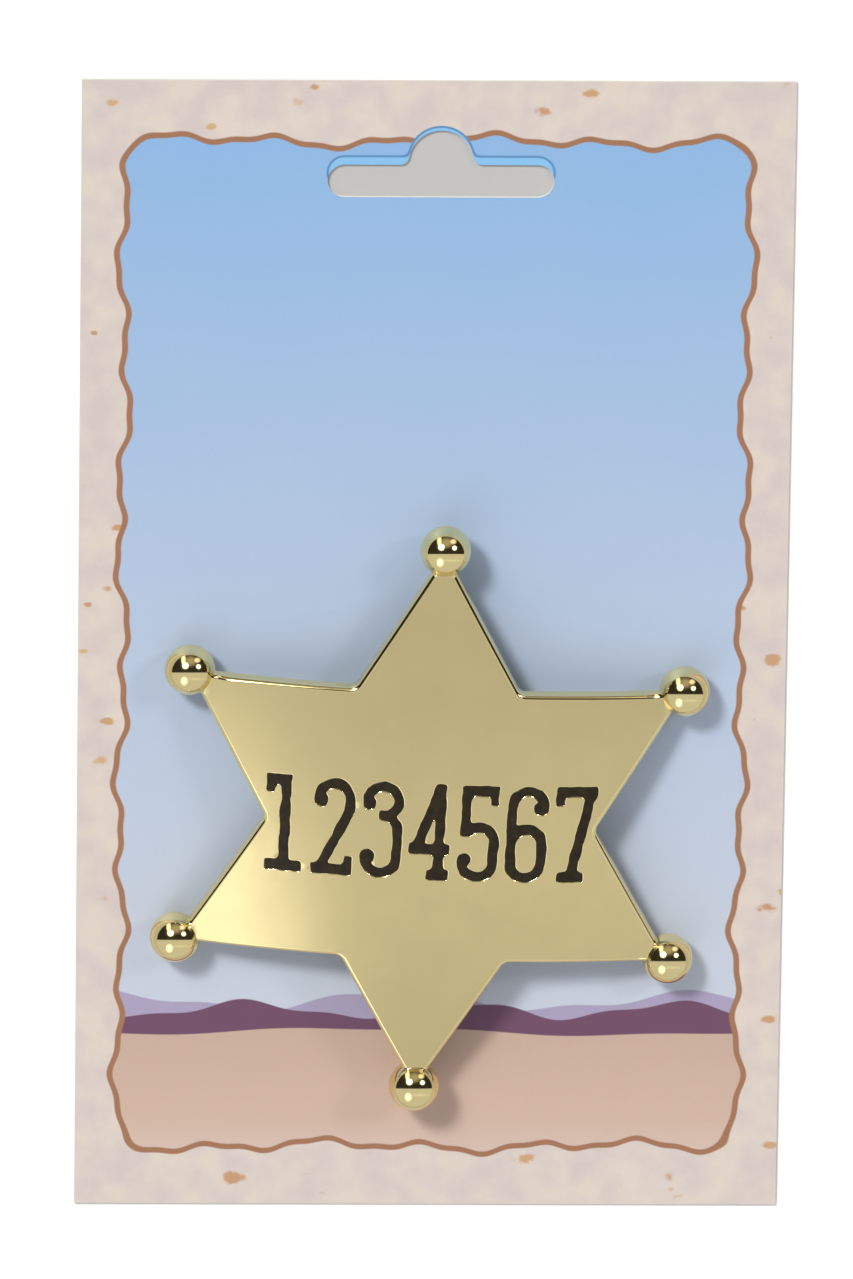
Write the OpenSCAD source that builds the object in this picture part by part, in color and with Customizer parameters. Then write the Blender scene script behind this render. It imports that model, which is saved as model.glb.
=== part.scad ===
// Six-pointed star badge with a ball on each tip, on the card it hangs from.
// Millimetres. The card lies on its back with its head towards +Y, and the
// origin is the middle of its back face. The badge lies over it, face up.

/* [Card] */
// Width of the board
card_w = 101.6; // [98:0.1:120]
// Height of the board, from foot to head
card_h = 171.4; // [165:0.1:200]
// Thickness of the board
card_t = 0.6; // [0.4:0.1:1.5]

/* [Hang slot] */
// Overall width of the slot, round ends included
slot_w = 32.3; // [28:0.1:36]
// Height of the slot's bar
slot_bar_h = 4.9; // [4.5:0.1:6]
// Radius of the round rise in the middle of the slot
slot_rise_r = 4.6; // [4.2:0.1:6]
// How far the rise's centre lies above the bar's centre
slot_rise_up = 3; // [1.5:0.1:3.5]
// Radius of the fillets between the bar and the rise
slot_fillet = 1.4; // [0.5:0.1:2]
// Slot's middle, to the right of the card's middle
slot_x = 0.4; // [-2:0.1:2]
// Slot's middle, above the card's middle
slot_y = 70.7; // [66:0.1:74]

/* [Star] */
// Distance from the star's middle to the centre of each ball
star_r = 41; // [40:0.5:43]
// Thickness of the plate
plate_t = 2.2; // [1.8:0.1:2.6]
// Radius that the plate is curved to, from side to side
curve_across = 150; // [140:5:200]
// Radius that the plate is curved to, from top to bottom
curve_along = 300; // [280:5:400]
// Radius of each ball
ball_r = 3.65; // [3:0.05:4]
// Clearance between the four side balls and the card
ball_clear = 0.3; // [0.1:0.1:0.6]
// Star's middle, to the right of the card's middle
star_x = -0.2; // [-3:0.1:3]
// Star's middle, above the card's middle
star_y = -24; // [-30:0.5:-18]
// Clockwise turn of the star on the card, in degrees
star_turn = 2.5; // [0:0.5:5]

/* [Figures] */
// Height of a figure
fig_h = 15; // [14:0.1:16]
// Width of a figure
fig_w = 6.2; // [6:0.1:6.4]
// Distance from one figure's middle to the next
fig_pitch = 6.95; // [6.8:0.05:7.2]
// Width of a figure's stems and curves
stem_w = 1.75; // [1.6:0.05:1.8]
// Height of a figure's flat slabs
slab_h = 1.9; // [1.7:0.05:2]
// Width of the short serifs that stand on the slabs' ends
serif_w = 1.5; // [1.3:0.05:1.6]
// Radius of the drop that ends a curve
drop_r = 1.2; // [1.1:0.05:1.25]
// Depth of the sunk figures below the face
sunk = 0.5; // [0.4:0.1:0.8]
// How far the enamel's top lies below the face
enamel_low = 0.1; // [0.05:0.05:0.2]
// Gap between the enamel and the walls of its recess
enamel_gap = 0.04; // [0.02:0.01:0.1]
// How far the row of figures lies below the star's middle
row_down = 0.5; // [0:0.1:2]

/* [Pin] */
// Length of the strap that holds the pin
strap_l = 30; // [28:1:34]
// Width of the strap
strap_w = 5; // [4:0.5:6]
// Thickness of the strap
strap_t = 0.9; // [0.7:0.1:1.2]
// Diameter of the needle
needle_d = 0.9; // [0.8:0.05:1.2]
// Depth of the needle's axis behind the plate's middle surface
needle_back = 5.2; // [4.8:0.1:5.5]
// Seam between the strap and the plate's back
pin_seam = 0.05; // [0.03:0.01:0.1]

/* [Hidden] */
$fn = 64;

points = 6;
figures = 7;
face = plate_t / 2;
tall = 40;
// The cut of a recess runs this far out over the face.
cut_out = 2;

// The curved band is cut from a ring of this many degrees, and reaches this far to each side and down.
band_turn = 18;
band_half = 46;
band_deep = 14;
band_fn = 360;

// Half the figure's box, and the centre lines of its left and right stems.
fx = fig_w / 2;
fy = fig_h / 2;
stem_x = fx - stem_w / 2;
slab_y = fy - slab_h / 2;
serif_x = fx - serif_w / 2;
// The curves are half rings whose centres lie this high.
ring_y = fy - fx;
// A straight stroke runs this far into the curve that it joins.
lap = 0.3;
// Height of the slabs' serifs, and of the drop on a curve's end.
serif_h = 3.3;
drop_y = ring_y - 0.4;

// Drop of the plate's middle surface below its crown, at a point of the plan.
function sag(x, y) =
    curve_along - sqrt(pow(curve_along - curve_across + sqrt(curve_across * curve_across - x * x), 2) - y * y);

function tip(k) = [star_r * sin(360 / points * k), star_r * cos(360 / points * k)];

side_sag = sag(tip(1)[0], tip(1)[1]);
// Height of the plate's crown above the card's back, with the side balls just clear of the card.
star_z = card_t + ball_clear + ball_r + side_sag;

module on_card() {
    translate([star_x, star_y, star_z])
        rotate(-star_turn)
            children();
}

// The space between two offsets of the plate's middle surface, which is the outer side of a ring.
module curved_band(low, high) {
    ring_r = curve_along - curve_across;
    translate([0, 0, -curve_along])
        rotate([0, -90, 0])
            rotate(-band_turn / 2)
                rotate_extrude(angle = band_turn, $fn = band_fn)
                    intersection() {
                        translate([ring_r, 0])
                            difference() {
                                circle(curve_across + high, $fn = band_fn);
                                circle(curve_across + low, $fn = band_fn);
                            }
                        translate([curve_along - band_deep, -band_half])
                            square([2 * band_deep, 2 * band_half]);
                    }
}

// A column of the plan that its children draw, through the whole height of the plate.
module column() {
    translate([0, 0, -tall / 2])
        linear_extrude(tall)
            children();
}

// Figures. Each part takes in all its edges by "trim", so that the enamel clears its recess.

module stroke(a, b, w, trim) {
    run = b - a;
    translate(a)
        rotate(atan2(run[1], run[0]))
            translate([trim, trim - w / 2])
                square([norm(run) - 2 * trim, w - 2 * trim]);
}

module curve(y, from, to, trim) {
    far = 3 * fx;
    mid = (from + to) / 2;
    translate([0, y])
        intersection() {
            difference() {
                circle(fx - trim);
                circle(fx - stem_w + trim);
            }
            polygon([
                [0, 0],
                far * [cos(from), sin(from)],
                far * [cos((from + mid) / 2), sin((from + mid) / 2)],
                far * [cos(mid), sin(mid)],
                far * [cos((mid + to) / 2), sin((mid + to) / 2)],
                far * [cos(to), sin(to)]
            ]);
        }
}

module drop(x, y, trim) {
    translate([x, y])
        circle(drop_r - trim);
}

module slab(x1, x2, y, trim) {
    stroke([x1, y], [x2, y], slab_h, trim);
}

module stem(x, y1, y2, trim) {
    stroke([x, y1], [x, y2], stem_w, trim);
}

module serif(x, y1, y2, trim) {
    stroke([x, y1], [x, y2], serif_w, trim);
}

// The bowl that closes the foot of 3, 5 and 6.
module low_bowl(top_y, trim) {
    stem(stem_x, -ring_y - lap, top_y + lap, trim);
    curve(-ring_y, -180, 0, trim);
}

module open_end(trim) {
    stem(-stem_x, -ring_y - lap, -drop_y, trim);
    drop(-fx + drop_r, -drop_y, trim);
}

module one(trim) {
    foot_x = 2.8;
    flag_x = 3;
    flag_h = 3.1;
    stem(0, -fy, fy, trim);
    slab(-foot_x, foot_x, -slab_y, trim);
    slab(-flag_x, 0, slab_y, trim);
    serif(-flag_x + serif_w / 2, fy - flag_h, fy, trim);
}

module two(trim) {
    neck_y = 2.2;
    slant_top = [stem_x, 2.5];
    slant_foot = [-stem_x + 0.3, -fy + 0.6];
    curve(ring_y, 0, 180, trim);
    drop(-fx + drop_r, drop_y, trim);
    stem(-stem_x, drop_y, ring_y + lap, trim);
    stem(stem_x, neck_y, ring_y + lap, trim);
    stroke(slant_top, slant_foot, stem_w, trim);
    slab(-fx, fx, -slab_y, trim);
    serif(serif_x, -fy, -fy + serif_h, trim);
}

module three(trim) {
    waist = ring_y - 2 * fx + stem_w;
    tongue = [-0.6, 0.4];
    curve(ring_y, -90, 180, trim);
    drop(-fx + drop_r, drop_y, trim);
    stem(-stem_x, drop_y, ring_y + lap, trim);
    slab(tongue[0], tongue[1], ring_y - fx + stem_w / 2, trim);
    curve(waist, 0, 90, trim);
    low_bowl(waist, trim);
    open_end(trim);
}

module four(trim) {
    stem_at = 1.35;
    bar_y = -2.6;
    foot_x = 0.5;
    slant_top = [stem_at, fy - 0.3];
    slant_foot = [-stem_x + 0.2, bar_y - 0.3];
    stem(stem_at, -fy, fy, trim);
    slab(-foot_x, fx, -slab_y, trim);
    slab(-fx, fx, bar_y, trim);
    stroke(slant_top, slant_foot, stem_w, trim);
}

module five(trim) {
    waist = -1.2;
    left_in = 0.3;
    right_in = 0.2;
    stem_foot = -0.6;
    slab(-fx + left_in, fx - right_in, slab_y, trim);
    serif(serif_x - right_in, fy - serif_h, fy, trim);
    stem(-stem_x + left_in, stem_foot, fy, trim);
    curve(waist, 0, 150, trim);
    low_bowl(waist, trim);
    open_end(trim);
}

module six(trim) {
    waist = -1.4;
    curve(ring_y, 0, 180, trim);
    drop(fx - drop_r, drop_y, trim);
    stem(stem_x, drop_y, ring_y + lap, trim);
    stem(-stem_x, -ring_y - lap, ring_y + lap, trim);
    curve(waist, 0, 180, trim);
    low_bowl(waist, trim);
}

module seven(trim) {
    foot = [-2.5, 1.6];
    slant_top = [stem_x, fy - 0.5];
    slant_foot = [-0.5, -fy + 0.5];
    slab(-fx, fx, slab_y, trim);
    serif(-serif_x, fy - serif_h, fy, trim);
    stroke(slant_top, slant_foot, stem_w, trim);
    slab(foot[0], foot[1], -slab_y, trim);
}

module figure_plan(k, trim) {
    first = -(figures - 1) / 2 * fig_pitch;
    translate([first + (k - 1) * fig_pitch, -row_down]) {
        if (k == 1) one(trim);
        if (k == 2) two(trim);
        if (k == 3) three(trim);
        if (k == 4) four(trim);
        if (k == 5) five(trim);
        if (k == 6) six(trim);
        if (k == 7) seven(trim);
    }
}

// Pieces

module star_outline() {
    rotate(90)
        circle(star_r, $fn = 3);
    rotate(-90)
        circle(star_r, $fn = 3);
}

module star() {
    color([0.82, 0.70, 0.38])
        on_card()
            difference() {
                union() {
                    intersection() {
                        column() star_outline();
                        curved_band(-face, face);
                    }
                    // Each ball's seam is turned outwards, clear of the plate.
                    for (k = [0:points - 1])
                        translate([tip(k)[0], tip(k)[1], -sag(tip(k)[0], tip(k)[1])])
                            rotate(90 - 360 / points * k)
                                sphere(ball_r);
                }
                for (k = [1:figures])
                    intersection() {
                        column() figure_plan(k, 0);
                        curved_band(face - sunk, face + cut_out);
                    }
            }
}

module figure(k) {
    color([0.06, 0.05, 0.05])
        on_card()
            intersection() {
                column() figure_plan(k, enamel_gap);
                curved_band(face - sunk + enamel_gap, face - enamel_low);
            }
}

// A block that hangs from the middle of the strap's thickness, down to the level "low".
module post(x, l, w, low) {
    top = -face - pin_seam - strap_t / 2 - sag(x, 0);
    translate([x - l / 2, -w / 2, low])
        cube([l, w, top - low]);
}

module pin_back() {
    strap_top = -face - pin_seam;
    half_strap = (strap_l - strap_w) / 2;
    post_x = strap_l / 2 - 3;
    post_l = 3;
    root_w = 3;
    root_below = 1;
    catch_w = 1.5;
    catch_r = 1.6;
    catch_lap = 0.4;
    past_catch = 1;
    needle_l = 2 * post_x + post_l / 2 + past_catch;
    point_l = 3;
    point_d = 0.1;
    color([0.75, 0.75, 0.74])
        on_card() {
            intersection() {
                column() {
                    square([2 * half_strap, strap_w], center = true);
                    for (side = [-1, 1])
                        translate([side * half_strap, 0])
                            circle(strap_w / 2);
                }
                curved_band(strap_top - strap_t, strap_top);
            }
            // Post at the needle's root
            post(-post_x, post_l, root_w, -needle_back - root_below);
            // Post and round catch near its point
            post(post_x, post_l, catch_w, -needle_back + catch_r - catch_lap);
            translate([post_x - post_l / 2, 0, -needle_back])
                rotate([0, 90, 0])
                    cylinder(h = post_l, r = catch_r);
            translate([-post_x, 0, -needle_back])
                rotate([0, 90, 0]) {
                    cylinder(h = needle_l, d = needle_d);
                    translate([0, 0, needle_l])
                        cylinder(h = point_l, d1 = needle_d, d2 = point_d);
                }
        }
}

// The cut between the slot's bar, its rise and the fillet that runs into both.
// The fillet's circle laps over both a little, so that their edges cross.
module fillet_cut() {
    lapped = 0.02;
    bar_top = slot_bar_h / 2;
    centre_y = bar_top + slot_fillet - lapped;
    up = centre_y - slot_rise_up;
    apart = slot_rise_r + slot_fillet - lapped;
    out = sqrt(apart * apart - up * up);
    meet = slot_rise_r / apart * [out, up] + [0, slot_rise_up];
    difference() {
        polygon([[0, 0], [out, 0], [out, bar_top], meet, [0, meet[1]]]);
        translate([out, centre_y])
            circle(slot_fillet);
    }
}

module hang_slot() {
    reach = slot_w / 2 - slot_bar_h / 2;
    translate([slot_x, slot_y]) {
        square([2 * reach, slot_bar_h], center = true);
        for (side = [-1, 1])
            translate([side * reach, 0])
                circle(slot_bar_h / 2);
        translate([0, slot_rise_up])
            circle(slot_rise_r);
        fillet_cut();
        mirror([1, 0])
            fillet_cut();
    }
}

module card() {
    color([0.72, 0.81, 0.89])
        linear_extrude(card_t)
            difference() {
                square([card_w, card_h], center = true);
                hang_slot();
            }
}

card();
star();
figure(1);  // figure_1
figure(2);  // figure_2
figure(3);  // figure_3
figure(4);  // figure_4
figure(5);  // figure_5
figure(6);  // figure_6
figure(7);  // figure_7
pin_back();
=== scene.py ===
# %% [markdown]
# A six-pointed star badge lies face up on the card it is sold on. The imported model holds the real
# sizes, and this script gives each piece its looks. We begin by loading that model, because all
# that follows is measured from it.

# %% Load the model
import math

import bmesh
import bpy
from mathutils import Matrix, Vector


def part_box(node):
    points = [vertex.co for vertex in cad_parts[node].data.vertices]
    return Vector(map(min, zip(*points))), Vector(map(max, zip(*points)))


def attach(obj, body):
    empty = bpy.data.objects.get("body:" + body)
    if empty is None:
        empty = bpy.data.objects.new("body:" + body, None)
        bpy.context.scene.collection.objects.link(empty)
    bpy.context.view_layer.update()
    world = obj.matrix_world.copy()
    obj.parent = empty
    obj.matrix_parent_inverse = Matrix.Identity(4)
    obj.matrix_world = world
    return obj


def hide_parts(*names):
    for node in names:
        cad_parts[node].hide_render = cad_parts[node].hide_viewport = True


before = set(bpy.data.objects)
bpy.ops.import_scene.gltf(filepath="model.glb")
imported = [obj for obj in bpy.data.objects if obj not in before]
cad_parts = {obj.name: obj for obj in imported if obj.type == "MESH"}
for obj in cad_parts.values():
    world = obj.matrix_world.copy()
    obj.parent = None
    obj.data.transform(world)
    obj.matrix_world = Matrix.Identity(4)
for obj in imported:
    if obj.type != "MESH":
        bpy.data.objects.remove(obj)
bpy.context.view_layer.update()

# %% [markdown]
# The badge's middle, its crown and the card's face come from the model's boxes. The star looks the
# same after half a turn, so the middle of its box is its own middle. Only the sizes that a box
# can't tell are named here, in metres.

# %% Sizes from the model
MM = 0.001

star_low, star_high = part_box("star")
card_low, card_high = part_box("card")

plate_t = 2.2 * MM
half_plate = plate_t / 2
star_r = 41 * MM
ball_r = 3.65 * MM
curve_across = 150 * MM
curve_along = 300 * MM
star_turn = math.radians(-2.5)
sunk = 0.5 * MM

middle = (star_low + star_high) / 2
star_place = Vector((middle.x, middle.y, star_high.z - half_plate))
card_face = card_high.z
card_w = card_high.x - card_low.x
card_h = card_high.y - card_low.y
print("star's middle, mm:", [round(v / MM, 2) for v in star_place])

# %% [markdown]
# Most of the modelling below is done as by hand: go into edit mode, select some faces or edges,
# and use an operator on them. These small helpers open a piece for editing, select by a rule,
# apply a modifier, and copy a piece with a mesh of its own.

# %% Helpers for modelling
def only(piece):
    if bpy.context.object and bpy.context.object.mode != "OBJECT":
        bpy.ops.object.mode_set(mode="OBJECT")
    bpy.ops.object.select_all(action="DESELECT")
    piece.select_set(True)
    bpy.context.view_layer.objects.active = piece


def edit(piece):
    only(piece)
    bpy.ops.object.mode_set(mode="EDIT")


def done(piece, name=None):
    only(piece)
    if name:
        piece.name = piece.data.name = name
    return piece


def select(piece, kind, rule):
    """Selects the verts, edges or faces that the rule holds for, and counts them."""
    bpy.ops.mesh.select_mode(type=kind)
    bpy.ops.mesh.select_all(action="DESELECT")
    shape = bmesh.from_edit_mesh(piece.data)
    items = {"VERT": shape.verts, "EDGE": shape.edges, "FACE": shape.faces}[kind]
    found = [item for item in items if rule(item)]
    for item in found:
        item.select_set(True)
    shape.select_flush_mode()
    bmesh.update_edit_mesh(piece.data)
    return len(found)


def modify(piece, kind, **settings):
    only(piece)
    modifier = piece.modifiers.new(kind.title(), kind)
    for name, value in settings.items():
        setattr(modifier, name, value)
    bpy.ops.object.modifier_apply(modifier=modifier.name)


def copy_of(piece, name):
    twin = piece.copy()
    twin.data = piece.data.copy()
    twin.parent = None
    twin.name = twin.data.name = name
    bpy.context.scene.collection.objects.link(twin)
    return twin


def remove(piece):
    mesh = piece.data
    bpy.data.objects.remove(piece)
    bpy.data.meshes.remove(mesh)


# %% [markdown]
# The real plate is a casting with a gentle dome, tighter from side to side than from top to
# bottom. A dome is hard to cut figures in, so we go another way: everything on the plate is
# modelled flat, round the star's own middle, then pressed over the dome and put in place. The
# drop is worked out for each height, so the walls stay upright and the plate keeps its thickness.

# %% The press
def drop(x, y, z):
    across = curve_across + z
    along = curve_along + z
    ring = curve_along - curve_across
    return along - math.sqrt((ring + math.sqrt(across**2 - x**2)) ** 2 - y**2)


def press(piece):
    for point in piece.data.vertices:
        point.co.z -= drop(*point.co)


def flatten(piece):
    for point in piece.data.vertices:
        point.co.z += drop(point.co.x, point.co.y, half_plate)


to_card = Matrix.Translation(star_place) @ Matrix.Rotation(star_turn, 4, "Z")


def put_in_place(piece):
    piece.data.transform(to_card)
    piece.data.update()


# %% [markdown]
# The figures on the badge are the model's own. A copy of each is laid flat, and all but the edge
# of its top is deleted, so that one flat outline is left. The real recesses were cut by hand in
# the mould, so their corners are round and their edges waver: the outline is cut in short
# stretches, smoothed, and pushed about by a soft noise. Only then is it filled, because a fill
# made before would cross the moved edge. Last it is let out by the width of the recess's brim,
# and by a little more, which makes the strokes look as bold as the real ones.

# %% Figures as flat outlines
figures = [f"figure_{k}" for k in range(1, 8)]
same_point = 0.002 * MM
too_close = 0.05 * MM
outline_step = 0.3 * MM
corner_rounds = 5
waver = 0.42 * MM
bolder = 0.14 * MM
brim = 0.17 * MM

hand = {}
for direction, scale in (("X", 2.0 * MM), ("Y", 1.6 * MM)):
    hand[direction] = bpy.data.textures.new("hand_waver_" + direction, "CLOUDS")
    hand[direction].noise_scale = scale
    hand[direction].noise_depth = 1
hand["Y"].noise_basis = "IMPROVED_PERLIN"


def flat_outline(node):
    piece = copy_of(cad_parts[node], node + "_outline")
    piece.data.transform(to_card.inverted())
    flatten(piece)
    edit(piece)
    bpy.ops.mesh.select_all(action="SELECT")
    bpy.ops.mesh.remove_doubles(threshold=same_point)
    select(piece, "FACE", lambda f: f.normal.z < 0.7)
    bpy.ops.mesh.delete(type="FACE")
    select(piece, "EDGE", lambda e: not e.is_boundary)
    bpy.ops.mesh.delete(type="EDGE")
    bpy.ops.mesh.select_all(action="SELECT")
    bpy.ops.transform.resize(value=(1, 1, 0), center_override=(0, 0, half_plate))
    bpy.ops.mesh.remove_doubles(threshold=too_close)
    while select(piece, "EDGE", lambda e: e.calc_length() > outline_step):
        bpy.ops.mesh.subdivide(number_cuts=1)
    bpy.ops.mesh.select_all(action="SELECT")
    bpy.ops.mesh.vertices_smooth(factor=0.5, repeat=corner_rounds)
    done(piece)
    for direction, cloud in hand.items():
        modify(
            piece, "DISPLACE", texture=cloud, direction=direction, strength=waver,
            texture_coords="LOCAL",
        )
    edit(piece)
    bpy.ops.mesh.select_all(action="SELECT")
    bpy.ops.mesh.fill()
    bpy.ops.mesh.select_all(action="SELECT")
    bpy.ops.mesh.inset(thickness=bolder + brim, use_outset=True)
    done(piece)
    if piece.data.polygons[0].normal.z < 0:
        piece.data.flip_normals()
    return piece


outlines = {node: flat_outline(node) for node in figures}
for node, outline in outlines.items():
    print(node, "outline of", len(outline.data.vertices), "points")

# %% [markdown]
# The star starts as a disc with twelve corners. Every other corner is drawn in to the circle on
# which the two triangles of a hexagram cross, the disc is pulled up to the plate's thickness, and
# the six inner corners get the small fillet that a mould cutter leaves. Polishing and plating
# then round the rim well over, which gives the thin dark and light lines round the star.

# %% The flat star
inner = 1 / math.sqrt(3)
inner_fillet = 0.8 * MM
rim_round = 0.62 * MM
back_round = 0.25 * MM
near = 0.02 * MM


def between_points(vert):
    angle = math.degrees(math.atan2(vert.co.x, vert.co.y)) % 60
    return abs(angle - 30) < 1


def at_height(edge, z):
    return all(abs(v.co.z - z) < near for v in edge.verts)


bpy.ops.mesh.primitive_circle_add(
    vertices=12, radius=star_r, fill_type="NGON", location=(0, 0, -half_plate)
)
star = bpy.context.object
only(star)
bpy.ops.object.transform_apply()
edit(star)
select(star, "VERT", between_points)
bpy.ops.transform.resize(value=(inner, inner, 1), center_override=(0, 0, 0))
bpy.ops.mesh.select_all(action="SELECT")
bpy.ops.mesh.extrude_region_move(TRANSFORM_OT_translate={"value": (0, 0, plate_t)})
bpy.ops.mesh.select_all(action="SELECT")
bpy.ops.mesh.normals_make_consistent(inside=False)
corners = select(
    star,
    "EDGE",
    lambda e: all(between_points(v) for v in e.verts) and e.calc_length() > 0.9 * plate_t,
)
bpy.ops.mesh.bevel(offset=inner_fillet, offset_type="OFFSET", segments=6, affect="EDGES")
select(star, "EDGE", lambda e: at_height(e, half_plate))
bpy.ops.mesh.bevel(offset=rim_round, offset_type="OFFSET", segments=8, affect="EDGES")
select(star, "EDGE", lambda e: at_height(e, -half_plate))
bpy.ops.mesh.bevel(offset=back_round, offset_type="OFFSET", segments=3, affect="EDGES")
done(star, "star_badge")
print("star:", corners, "inner corners rounded,", len(star.data.polygons), "faces")

# %% [markdown]
# Each figure is cut into the face with a prism on its outline. Under the face the prism narrows
# in a few steps along a quarter circle, which leaves the recess a rounded brim, and then drops
# straight to the floor.

# %% Cut the recesses
brim_steps = 3


def recess_cutter(node):
    cutter = copy_of(outlines[node], node + "_cutter")
    edit(cutter)
    bpy.ops.mesh.select_all(action="SELECT")
    bpy.ops.mesh.extrude_region_move(TRANSFORM_OT_translate={"value": (0, 0, sunk)})
    bpy.ops.mesh.select_all(action="SELECT")
    bpy.ops.mesh.normals_make_consistent(inside=False)
    select(cutter, "FACE", lambda f: f.normal.z < -0.9)
    for k in range(brim_steps):
        start, end = (math.radians(90 * j / brim_steps) for j in (k, k + 1))
        bpy.ops.mesh.inset(
            thickness=brim * (math.sin(end) - math.sin(start)),
            depth=brim * (math.cos(start) - math.cos(end)),
        )
    bpy.ops.mesh.extrude_region_move(TRANSFORM_OT_translate={"value": (0, 0, brim - sunk)})
    return done(cutter)


for node in figures:
    cutter = recess_cutter(node)
    modify(star, "BOOLEAN", operation="DIFFERENCE", solver="EXACT", object=cutter)
    remove(cutter)
print("star after the cuts:", len(star.data.polygons), "faces")

# %% [markdown]
# The plate is still one great flat face, which couldn't bend. A grid of cuts gives it the folds
# it needs, and the flat face is marked now, while it is easy to tell: it will be satin, and
# everything else polished.

# %% Cut a grid and mark the satin face
grid_step = 2.5 * MM
reach = 18


def is_face_top(face):
    return face.normal.z > 0.9999 and face.calc_center_median().z > half_plate - near


satin_slot, polished_slot = 0, 1
for name in ("satin_gold", "polished_gold"):
    star.data.materials.append(bpy.data.materials.new(name))
edit(star)
for axis in (Vector((1, 0, 0)), Vector((0, 1, 0))):
    for k in range(-reach, reach + 1):
        bpy.ops.mesh.select_all(action="SELECT")
        bpy.ops.mesh.bisect(plane_co=axis * k * grid_step, plane_no=axis)
bpy.ops.mesh.select_all(action="SELECT")
star.active_material_index = polished_slot
bpy.ops.object.material_slot_assign()
satin = select(star, "FACE", is_face_top)
star.active_material_index = satin_slot
bpy.ops.object.material_slot_assign()
done(star)
press(star)
print("star pressed:", len(star.data.polygons), "faces,", satin, "of them satin")

# %% [markdown]
# The balls on the six points are cast in one with the plate. One sphere is modelled and copied to
# each point, and a boolean joins it to the plate, so that the casting is one skin with no hidden
# walls. A boolean can leave needle-thin faces where two surfaces meet, so those are merged away.

# %% The balls
ball_segments = 64
smooth_under = math.radians(40)


def tip(k):
    angle = math.radians(60 * k)
    return Vector((star_r * math.sin(angle), star_r * math.cos(angle), 0))


bpy.ops.mesh.primitive_uv_sphere_add(
    segments=ball_segments, ring_count=ball_segments // 2, radius=ball_r, location=(0, 0, 0)
)
ball = bpy.context.object
for name in ("satin_gold", "polished_gold"):
    ball.data.materials.append(bpy.data.materials[name])
edit(ball)
bpy.ops.mesh.select_all(action="SELECT")
ball.active_material_index = polished_slot
bpy.ops.object.material_slot_assign()
done(ball, "ball")
for k in range(6):
    place = tip(k)
    place.z = -drop(place.x, place.y, 0)
    one = copy_of(ball, f"ball_{k}")
    one.data.transform(Matrix.Translation(place))
    modify(star, "BOOLEAN", operation="UNION", solver="EXACT", object=one)
    remove(one)
remove(ball)
edit(star)
bpy.ops.mesh.select_all(action="SELECT")
bpy.ops.mesh.remove_doubles(threshold=same_point)
bpy.ops.mesh.dissolve_degenerate(threshold=same_point)
done(star)
put_in_place(star)
only(star)
bpy.ops.object.shade_smooth_by_angle(angle=smooth_under)
modify(star, "WEIGHTED_NORMAL", mode="FACE_AREA", weight=80, keep_sharp=True)
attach(star, "root")
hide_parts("star")
print("star:", len(star.data.polygons), "faces")

# %% [markdown]
# The enamel was dropped into the recesses by hand and left to level, so it has a soft rounded
# edge and a slightly uneven skin. Each fill is a prism on the same wavering outline, which just
# wets the walls, remeshed finely and smoothed until its edges are round.

# %% The enamel
wetting = 0.08 * MM
enamel_gap = 0.03 * MM
enamel_low = 0.03 * MM
voxel = 0.11 * MM

enamel = {}
for node in figures:
    fill = outlines[node]
    edit(fill)
    bpy.ops.mesh.select_all(action="SELECT")
    bpy.ops.mesh.inset(thickness=brim - wetting)
    bpy.ops.mesh.select_all(action="INVERT")
    bpy.ops.mesh.delete(type="FACE")
    bpy.ops.mesh.select_all(action="SELECT")
    bpy.ops.transform.translate(value=(0, 0, enamel_gap - sunk))
    depth = sunk - enamel_gap - enamel_low
    bpy.ops.mesh.extrude_region_move(TRANSFORM_OT_translate={"value": (0, 0, depth)})
    bpy.ops.mesh.select_all(action="SELECT")
    bpy.ops.mesh.normals_make_consistent(inside=False)
    done(fill, node + "_enamel")
    modify(fill, "REMESH", mode="VOXEL", voxel_size=voxel)
    modify(fill, "SMOOTH", factor=0.5, iterations=4)
    press(fill)
    put_in_place(fill)
    only(fill)
    bpy.ops.object.shade_smooth()
    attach(fill, "root")
    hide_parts(node)
    enamel[node] = fill
print("enamel:", sum(len(f.data.polygons) for f in enamel.values()), "faces")

# %% [markdown]
# Materials come next. Every colour is written as the hex value that a screen shows and turned to
# the linear numbers that a renderer counts in. One helper adds a node with its settings and links.

# %% Helpers for materials
def linear(hex_value):
    channels = [int(hex_value[i : i + 2], 16) / 255 for i in (1, 3, 5)]
    curved = [c / 12.92 if c <= 0.04045 else ((c + 0.055) / 1.055) ** 2.4 for c in channels]
    return (*curved, 1)


def add(tree, kind, sockets=(), stops=(), **settings):
    """Adds a node. Its sockets are given in order or by name, each a value or a node to link."""
    node = tree.nodes.new("ShaderNode" + kind)
    for name, value in settings.items():
        setattr(node, name, value)
    for socket, value in sockets.items() if isinstance(sockets, dict) else enumerate(sockets):
        value = value.outputs[0] if isinstance(value, bpy.types.Node) else value
        if isinstance(value, bpy.types.NodeSocket):
            tree.links.new(value, node.inputs[socket])
        else:
            node.inputs[socket].default_value = value
    for k, (place, colour) in enumerate(stops):
        band = node.color_ramp.elements
        stop = band[k] if k < len(band) else band.new(place)
        stop.position, stop.color = place, linear(colour)
    return node


def start_material(name):
    material = bpy.data.materials.get(name) or bpy.data.materials.new(name)
    material.use_nodes = True
    material.node_tree.nodes.clear()
    return material, material.node_tree


# %% [markdown]
# The plating is a thin flash of pale gold over a zinc casting. On the face it was laid over a
# satin ground, so it blurs what it mirrors and looks a little darker. On the balls, the walls and
# the rounded rims it was laid over polished metal and mirrors sharply. Handling has left the face
# faintly cloudy, with a few small dings.

# %% Gold plate
ding_spacing = MM / 0.18


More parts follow.
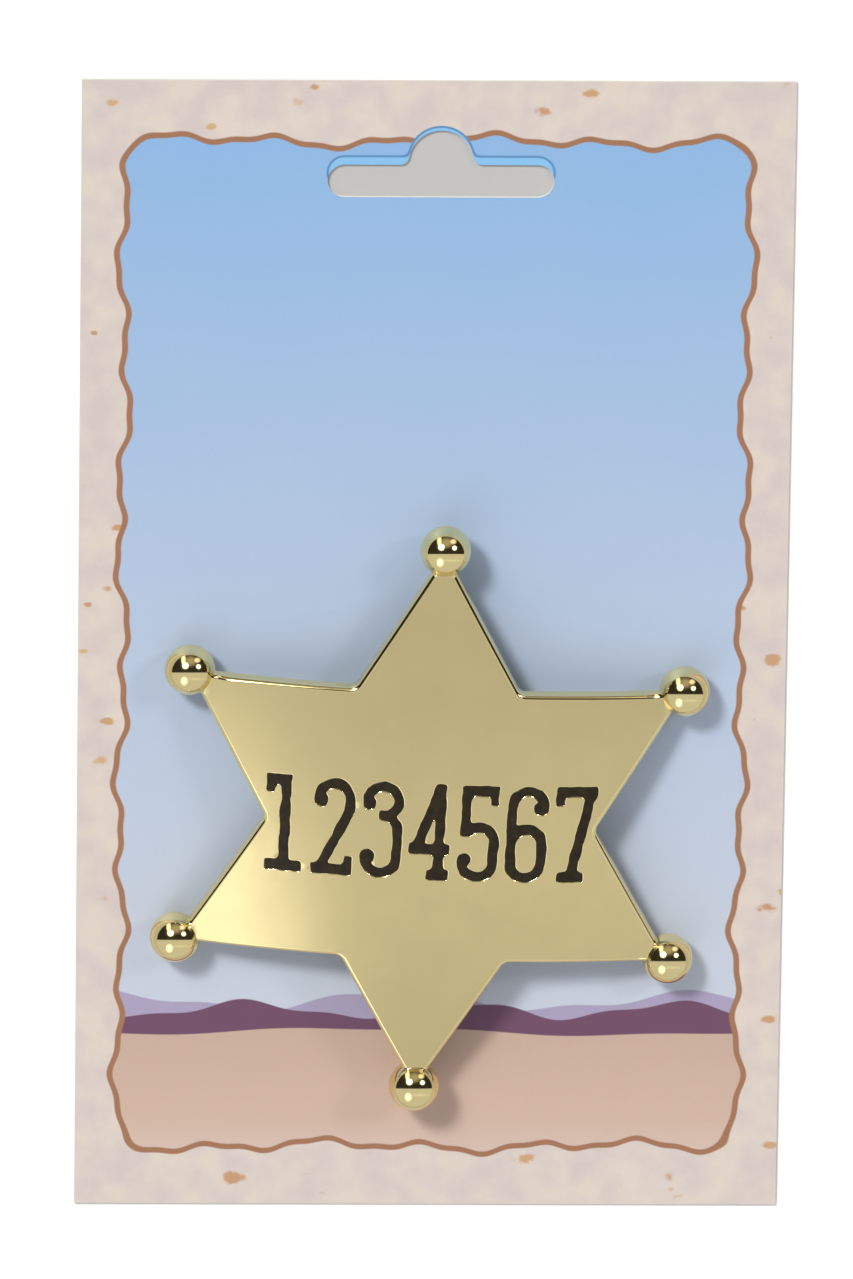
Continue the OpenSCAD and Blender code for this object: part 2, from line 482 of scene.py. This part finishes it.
def gold(name, colour, roughness, grain, grain_height, ding_size, ding_depth):
    material, tree = start_material(name)
    place = add(tree, "TexCoord").outputs["Object"]
    cloud = add(tree, "TexNoise", {"Vector": place, "Scale": 0.12 / MM, "Detail": 3})
    toned = add(tree, "MapRange", [cloud, 0.3, 0.7, 0.97, 1.03])
    tint = add(tree, "VectorMath", {0: linear(colour)[:3], "Scale": toned}, operation="SCALE")
    rough = add(tree, "MapRange", [cloud, 0.3, 0.7, roughness * 1.08, roughness * 0.92])
    fine = add(tree, "TexNoise", {"Vector": place, "Scale": 1 / grain, "Detail": 2})
    grained = add(tree, "Bump", {"Height": fine, "Distance": grain_height, "Strength": 1.0})
    cells = add(tree, "TexVoronoi", {"Vector": place, "Scale": 1 / ding_spacing})
    hit = add(
        tree, "MapRange", [cells, 0.0, ding_size / ding_spacing], interpolation_type="SMOOTHSTEP"
    )
    dinged = add(tree, "Bump", {"Height": hit, "Distance": ding_depth, "Normal": grained})
    metal = add(
        tree,
        "BsdfPrincipled",
        {"Base Color": tint, "Metallic": 1.0, "Roughness": rough, "Normal": dinged},
    )
    add(tree, "OutputMaterial", [metal])


gold(
    "satin_gold", "#DDCD99", roughness=0.21, grain=0.35 * MM, grain_height=0.0008 * MM,
    ding_size=0.35 * MM, ding_depth=0.012 * MM,
)
gold(
    "polished_gold", "#F1E1A7", roughness=0.09, grain=2.5 * MM, grain_height=0.002 * MM,
    ding_size=0.2 * MM, ding_depth=0.002 * MM,
)

# %% [markdown]
# The enamel is a stoving enamel, black with a brown cast. It shrank as it dried, so its skin is a
# little uneven and its gloss is duller than glass, which keeps it dark under the studio's paper.

# %% Black enamel
black, tree = start_material("black_stoved_enamel")
place = add(tree, "TexCoord").outputs["Object"]
cloud = add(tree, "TexNoise", {"Vector": place, "Scale": 0.9 / MM, "Detail": 2})
tint = add(tree, "ValToRGB", [cloud], stops=[(0.35, "#1A1407"), (0.65, "#281F0C")])
bump = add(tree, "Bump", {"Height": cloud, "Distance": 0.03 * MM})
gloss = add(
    tree,
    "BsdfPrincipled",
    {
        "Base Color": tint,
        "Roughness": 0.3,
        "IOR": 1.5,
        "Specular IOR Level": 0.25,
        "Normal": bump,
    },
)
add(tree, "OutputMaterial", [gloss])
for fill in enamel.values():
    fill.data.materials.clear()
    fill.data.materials.append(black)

# %% [markdown]
# The card is white board, coated and printed on one side and die cut, so its edges and back stay
# bare. The print is worked out from the place on the card, in millimetres, so that it stays
# sharp at any distance. Three helpers say where an ink starts, lay one colour over another, and
# roll a wave across the card.

# %% Places on the card
board, tree = start_material("printed_board")
place = add(tree, "TexCoord").outputs["Object"]
in_mm = add(tree, "VectorMath", {0: place, "Scale": 1 / MM}, operation="SCALE").outputs[0]
x, y, z = add(tree, "SeparateXYZ", [in_mm]).outputs
half_w = card_w / 2 / MM
half_h = card_h / 2 / MM
print_blur = 0.12


def ink_from(value, edge, blur=print_blur):
    """No ink below the edge and full ink above it, in millimetres."""
    return add(
        tree, "MapRange", [value, edge - blur, edge + blur], interpolation_type="SMOOTHSTEP"
    )


def over(ink, below, above):
    """The colour above where there is ink, and the one below where there is none."""
    colours = [linear(c) if isinstance(c, str) else c for c in (below, above)]
    return add(tree, "Mix", {0: ink, 6: colours[0], 7: colours[1]}, data_type="RGBA").outputs[2]


def rolling(along, length, height, shift):
    turn = add(tree, "Math", [along, 2 * math.pi / length, shift], operation="MULTIPLY_ADD")
    crest = add(tree, "Math", [turn], operation="SINE")
    return add(tree, "Math", [crest, height], operation="MULTIPLY")


# %% [markdown]
# The sky deepens towards the card's head, with a faint unevenness, and three rows of dunes roll
# across the foot: pale lilac, dark mauve and tan.

# %% Sky and dunes
height = add(tree, "MapRange", [y, -half_h, half_h])
haze = add(tree, "TexNoise", {"Vector": in_mm, "Scale": 0.05, "Detail": 2})
lifted = add(tree, "Math", [haze, 0.06, height], operation="MULTIPLY_ADD")
sky = add(
    tree,
    "ValToRGB",
    [lifted],
    stops=[
        (0.10, "#BEC2D0"),
        (0.35, "#B1BCD1"),
        (0.62, "#A3B6D4"),
        (0.84, "#8FAED5"),
        (1.00, "#80A9D7"),
    ],
)
tan = add(
    tree,
    "ValToRGB",
    [add(tree, "MapRange", [y, -half_h, -59.0])],
    stops=[(0.0, "#CBBDB8"), (0.5, "#C1A79A"), (1.0, "#B99F92")],
)


def dunes(base, rolls, behind, ink):
    """A row of dunes in one ink. Its crest is a sum of waves above the base line."""
    crest = base
    for length, height, shift in rolls:
        crest = add(tree, "Math", [crest, rolling(x, length, height, shift)])
    under = add(tree, "Math", [crest, y], operation="SUBTRACT")
    return over(ink_from(under, 0.0), behind, ink)


scenery = dunes(-54.2, [(43, 1.3, 2.2), (17, 0.5, 0.4)], sky, "#9D94B4")
scenery = dunes(-55.6, [(31, 1.2, 0.6), (13, 0.4, 2.0)], scenery, "#65425F")
scenery = dunes(-59.0, [(72, 0.5, 2.4), (27, 0.2, 0.3)], scenery, tan)

# %% [markdown]
# The margin is printed like sandstone, pale and cloudy with soft warm flecks, and a gently wavy
# brown line parts it from the scene. The line adds up three waves of lengths that don't match, so
# it doesn't repeat on the card, and each fleck takes its size and colour by chance.

# %% Margin and line
side_margin = 6.3
end_margin = 9.0
line_w = 0.85
corner_round = 5.0

stone = add(tree, "TexNoise", {"Vector": in_mm, "Scale": 0.22, "Detail": 4})
sand = add(
    tree,
    "ValToRGB",
    [stone],
    stops=[(0.35, "#C4B8B8"), (0.5, "#C9BEBB"), (0.65, "#CEC3BB")],
)
wide = add(tree, "VectorMath", [in_mm, (0.6, 1.0, 1.0)], operation="MULTIPLY")
cells = add(tree, "TexVoronoi", {"Vector": wide, "Scale": 0.24})
chance = add(tree, "SeparateXYZ", [cells.outputs["Color"]])
ragged = add(tree, "TexNoise", {"Vector": in_mm, "Scale": 0.7, "Detail": 4})
shrunk = add(tree, "MapRange", [chance, 0.0, 1.0, 1.1, 3.6])
sized = add(tree, "Math", [cells, shrunk], operation="MULTIPLY")
fleck = add(tree, "Math", [ragged, 0.55, sized], operation="MULTIPLY_ADD")
flecked = add(tree, "Math", [1.0, ink_from(fleck, 0.5, 0.09)], operation="SUBTRACT")
warm = add(
    tree,
    "ValToRGB",
    [chance.outputs[1]],
    stops=[(0.2, "#BD9670"), (0.5, "#B58A6A"), (0.8, "#C2A27A")],
)
sand = over(flecked, sand, warm)

side, end = (add(tree, "Math", [axis], operation="ABSOLUTE") for axis in (x, y))
for length, height, shift in ((15.5, 0.6, 0.0), (6.3, 0.22, 1.0), (41.0, 0.5, 2.0)):
    side = add(tree, "Math", [side, rolling(y, length, height, shift)])
    end = add(tree, "Math", [end, rolling(x, length, height, shift + 1.6)])
past_side = add(tree, "Math", [side, half_w - side_margin], operation="SUBTRACT")
past_end = add(tree, "Math", [end, half_h - end_margin], operation="SUBTRACT")
outside = add(tree, "Math", [past_side, past_end, corner_round], operation="SMOOTH_MAX")
off_line = add(tree, "Math", [outside], operation="ABSOLUTE")
printed = over(ink_from(outside, 0.0), scenery, sand)
printed = over(ink_from(off_line, line_w / 2), "#966A4F", printed)

# %% [markdown]
# A lighter blue band is drawn just above the hang slot, with a thin darker blue line along its
# upper edge. The line is drawn where the distance to that edge is nothing: the edge is a bar with
# round ends and a round rise, as the slot is, set a little higher.

# %% Blue band and line over the slot
slot_at = (0.4, 70.7)
bar_reach = 13.7
bar_r = 2.45
rise_r = 4.6
rise_up = 3.0
bar_shift = 1.25
rise_shift = 0.55
slot_line_w = 0.16

across_slot = add(tree, "Math", [x, slot_at[0]], operation="SUBTRACT")
beside_slot = add(tree, "Math", [across_slot], operation="ABSOLUTE")
past_bar = add(tree, "Math", [beside_slot, bar_reach], operation="SUBTRACT")
past_bar = add(tree, "Math", [past_bar, 0.0], operation="MAXIMUM")
over_bar = add(tree, "Math", [y, slot_at[1] + bar_shift], operation="SUBTRACT")
over_rise = add(tree, "Math", [y, slot_at[1] + rise_up + rise_shift], operation="SUBTRACT")
bar_way = add(tree, "CombineXYZ", [past_bar, over_bar])
from_bar = add(tree, "VectorMath", [bar_way], operation="LENGTH")
rise_way = add(tree, "CombineXYZ", [across_slot, over_rise])
from_rise = add(tree, "VectorMath", [rise_way], operation="LENGTH")
to_bar = add(tree, "Math", [from_bar.outputs["Value"], bar_r], operation="SUBTRACT")
to_rise = add(tree, "Math", [from_rise.outputs["Value"], rise_r], operation="SUBTRACT")
to_edge = add(tree, "Math", [to_bar, to_rise, 1.5], operation="SMOOTH_MIN")
within = add(tree, "Math", [to_edge, 0.0], operation="LESS_THAN")
off_edge = add(tree, "Math", [to_edge], operation="ABSOLUTE")
on_edge = add(tree, "Math", [1.0, ink_from(off_edge, slot_line_w, 0.1)], operation="SUBTRACT")
printed = over(within, printed, "#7DB4E2")
printed = over(on_edge, printed, "#4F83B4")

# %% [markdown]
# Below the printed face the board is bare. Its fibres mottle both colour and gloss a little, and
# the coating gives the face a dull sheen.

# %% Board
ink_depth = 0.03

on_face = add(tree, "Math", [z, card_face / MM - ink_depth], operation="GREATER_THAN")
colour = over(on_face, "#E9E7E3", printed)
fibre = add(tree, "TexNoise", {"Vector": in_mm, "Scale": 4.0, "Detail": 4})
mottle = add(tree, "MapRange", [fibre, 0.0, 1.0, 0.97, 1.03])
colour = add(tree, "VectorMath", {0: colour, "Scale": mottle}, operation="SCALE")
bump = add(tree, "Bump", {"Height": fibre, "Distance": 0.01 * MM})
coated = add(
    tree,
    "BsdfPrincipled",
    {"Base Color": colour, "Roughness": 0.5, "IOR": 1.45, "Normal": bump},
)
add(tree, "OutputMaterial", [coated])
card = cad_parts["card"]
card.data.materials.clear()
card.data.materials.append(board)

# %% [markdown]
# The pin is hidden under the plate. Its strap, posts, catch and needle are bent from steel and
# nickel plated in a barrel, where the parts rub each other, so the gloss comes and goes a little.
# A soft noise on the roughness says that, and the shape is the model's own.

# %% Pin steel
steel, tree = start_material("nickel_plated_steel")
place = add(tree, "TexCoord").outputs["Object"]
cloud = add(tree, "TexNoise", {"Vector": place, "Scale": 1.5 / MM, "Detail": 3})
rough = add(tree, "MapRange", [cloud, 0.0, 1.0, 0.18, 0.34])
metal = add(
    tree,
    "BsdfPrincipled",
    {"Base Color": linear("#C9C6BE"), "Metallic": 1.0, "Roughness": rough},
)
add(tree, "OutputMaterial", [metal])
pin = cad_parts["pin_back"]
pin.data.materials.clear()
pin.data.materials.append(steel)

# %% [markdown]
# The camera stands three metres off with a long lens, 20 degrees towards the card's head from
# straight above, as the photographer's did. Its picture is as tall as 183.4 mm at the card.

# %% Camera
tilt = math.radians(20.05)
swing = math.radians(-1.68)
roll = math.radians(0.75)
distance = 3.0
picture_h = 183.44 * MM
aim_right = -0.803 * MM
aim_up = 1.205 * MM
sensor = 36.0

toward = Vector(
    (math.sin(swing) * math.cos(tilt), math.sin(tilt), math.cos(swing) * math.cos(tilt))
)
right = Vector((0, 1, 0)).cross(toward).normalized()
up = toward.cross(right)
right, up = (
    right * math.cos(roll) + up * math.sin(roll),
    up * math.cos(roll) - right * math.sin(roll),
)
aim = Vector((0, 0, card_face)) + right * aim_right + up * aim_up
lens = bpy.data.cameras.new("camera")
lens.sensor_width = sensor
lens.lens = sensor * distance / picture_h
lens.clip_start = 0.1
lens.clip_end = 100
camera = bpy.data.objects.new("camera", lens)
camera.matrix_world = Matrix.Translation(aim + toward * distance) @ Matrix(
    (right, up, toward)
).transposed().to_4x4()
bpy.context.scene.collection.objects.link(camera)
bpy.context.scene.camera = camera
bpy.context.scene.view_settings.view_transform = "Standard"
print("lens, mm:", round(lens.lens, 1))

# %% [markdown]
# Polished metal shows its surroundings, so the studio is laid out as one of the badge's own balls
# shows it: a point of the ball's disc, counted in ball radii to the right and up, stands for the
# direction it mirrors. White paper fills all that lies below the camera's line of sight, the
# room above it is dark, and two lamps stand in the dark.

# %% Studio
def seen_in_ball(across, upward):
    """The direction that a ball's disc shows at this place, as the camera sees it."""
    facing = math.sqrt(1 - across**2 - upward**2)
    normal = right * across + up * upward + toward * facing
    return 2 * normal.dot(toward) * normal - toward


def lamp(name, across, upward, strength, angle, colour):
    sun = bpy.data.lights.new(name, "SUN")
    sun.energy = strength
    sun.angle = math.radians(angle)
    sun.color = linear(colour)[:3]
    holder = bpy.data.objects.new(name, sun)
    direction = seen_in_ball(across, upward)
    holder.rotation_mode = "QUATERNION"
    holder.rotation_quaternion = direction.to_track_quat("Z", "Y")
    holder.location = direction
    bpy.context.scene.collection.objects.link(holder)
    print(name, "stands", [round(v, 2) for v in direction])


lamp("key_lamp", across=-0.172, upward=0.15, strength=2.1, angle=10, colour="#FFFDF5")
lamp("side_lamp", across=0.344, upward=0.119, strength=0.3, angle=7, colour="#FFFFFF")

# %% [markdown]
# The walls are the world's own colours: for each direction the node tree works out where a ball
# would show it, then picks paper or dark room there. Soft boxes and a window's glow are patches
# with soft edges laid over that. The satin face shows these softly too: the patch low on the
# left lights its lower left point, and a low band brightens its lower half.

# %% Walls of the studio
world = bpy.data.worlds.new("studio")
bpy.context.scene.world = world
world.use_nodes = True
tree = world.node_tree
tree.nodes.clear()
way = add(tree, "TexCoord").outputs["Generated"]
mirror = add(
    tree, "VectorMath", [add(tree, "VectorMath", [way, toward])], operation="NORMALIZE"
)
across = add(tree, "VectorMath", [mirror, right], operation="DOT_PRODUCT").outputs["Value"]
upward = add(tree, "VectorMath", [mirror, up], operation="DOT_PRODUCT").outputs["Value"]


def patch(x_mid, y_mid, x_size, y_size, core, strength, colour):
    """A soft-edged light on the ball's disc, full inside the core's share of its size."""
    offset = add(tree, "CombineXYZ", [across, upward])
    centred = add(tree, "VectorMath", [offset, (x_mid, y_mid, 0)], operation="SUBTRACT")
    scaled = add(tree, "VectorMath", [centred, (x_size, y_size, 1)], operation="DIVIDE")
    far = add(tree, "VectorMath", [scaled], operation="LENGTH").outputs["Value"]
    share = add(tree, "MapRange", [far, core, 1.0, strength, 0.0], interpolation_type="SMOOTHSTEP")
    return add(tree, "VectorMath", {0: linear(colour)[:3], "Scale": share}, operation="SCALE")


paper_edge = -0.119
edge_blur = 0.012
room = (0.030, 0.027, 0.024, 1)
paper = (0.665, 0.66, 0.65, 1)
above = add(
    tree,
    "MapRange",
    [upward, paper_edge - edge_blur, paper_edge + edge_blur],
    interpolation_type="SMOOTHSTEP",
)
light = add(tree, "Mix", {0: above, 6: paper, 7: room}, data_type="RGBA").outputs[2]

# Each patch: its middle across and upward, its size both ways, its core, strength and colour.
patches = [
    patch(-0.175, 0.15, 0.14, 0.14, 0.7, 3.0, "#FFFDF5"),
    patch(0.344, 0.119, 0.10, 0.10, 0.7, 3.0, "#FFFFFF"),
    patch(-0.253, 0.40, 0.11, 0.26, 0.5, 1.4, "#FFFBF0"),
    patch(0.298, 0.37, 0.15, 0.13, 0.4, 1.1, "#FFF4E4"),
    patch(0.03, 0.33, 0.36, 0.28, 0.2, 0.42, "#FFF0DC"),
    patch(-0.222, -0.452, 0.16, 0.20, 0.55, 1.06, "#FBFDFF"),
    patch(0.218, -0.372, 0.60, 0.08, 0.0, 0.19, "#FFFDF2"),
]
for glow in patches:
    light = add(tree, "VectorMath", [light, glow])
mirrored = add(tree, "Background", [light, 1.0])
backdrop = add(tree, "Background", [(1, 1, 1, 1), 1.0])
seen_directly = add(tree, "LightPath").outputs["Is Camera Ray"]
add(tree, "OutputWorld", [add(tree, "MixShader", [seen_directly, mirrored, backdrop])])

# %% [markdown]
# A plain pale floor carries the card. It isn't part of the object. What the metal mirrors of it is
# dimmer than what the camera sees, because a real table ends not far away. Under the card, from 3
# mm inside its edges, the floor is grey, and that grey shows through the card's slot.

# %% Floor
floor_size = 24
grey_inset = 3 * MM

bpy.ops.mesh.primitive_plane_add(size=floor_size, location=(0, 0, 0))
floor = bpy.context.object
floor.name = "floor"
table, tree = start_material("pale_floor")
spot = add(tree, "SeparateXYZ", [add(tree, "TexCoord").outputs["Object"]])
beside = add(tree, "Math", [spot], operation="ABSOLUTE")
beyond = add(tree, "Math", [spot.outputs[1]], operation="ABSOLUTE")
in_width = add(tree, "Math", [beside, card_w / 2 - grey_inset], operation="LESS_THAN")
in_length = add(tree, "Math", [beyond, card_h / 2 - grey_inset], operation="LESS_THAN")
under_card = add(tree, "Math", [in_width, in_length], operation="MULTIPLY")
white = add(tree, "BsdfDiffuse", [(0.93, 0.93, 0.93, 1)])
grey = add(tree, "BsdfDiffuse", [(0.46, 0.46, 0.47, 1)])
seen_directly = add(tree, "LightPath").outputs["Is Camera Ray"]
plain = add(tree, "MixShader", [seen_directly, grey, white])
laid = add(tree, "MixShader", [under_card, plain, grey])
add(tree, "OutputMaterial", [laid])
floor.data.materials.append(table)
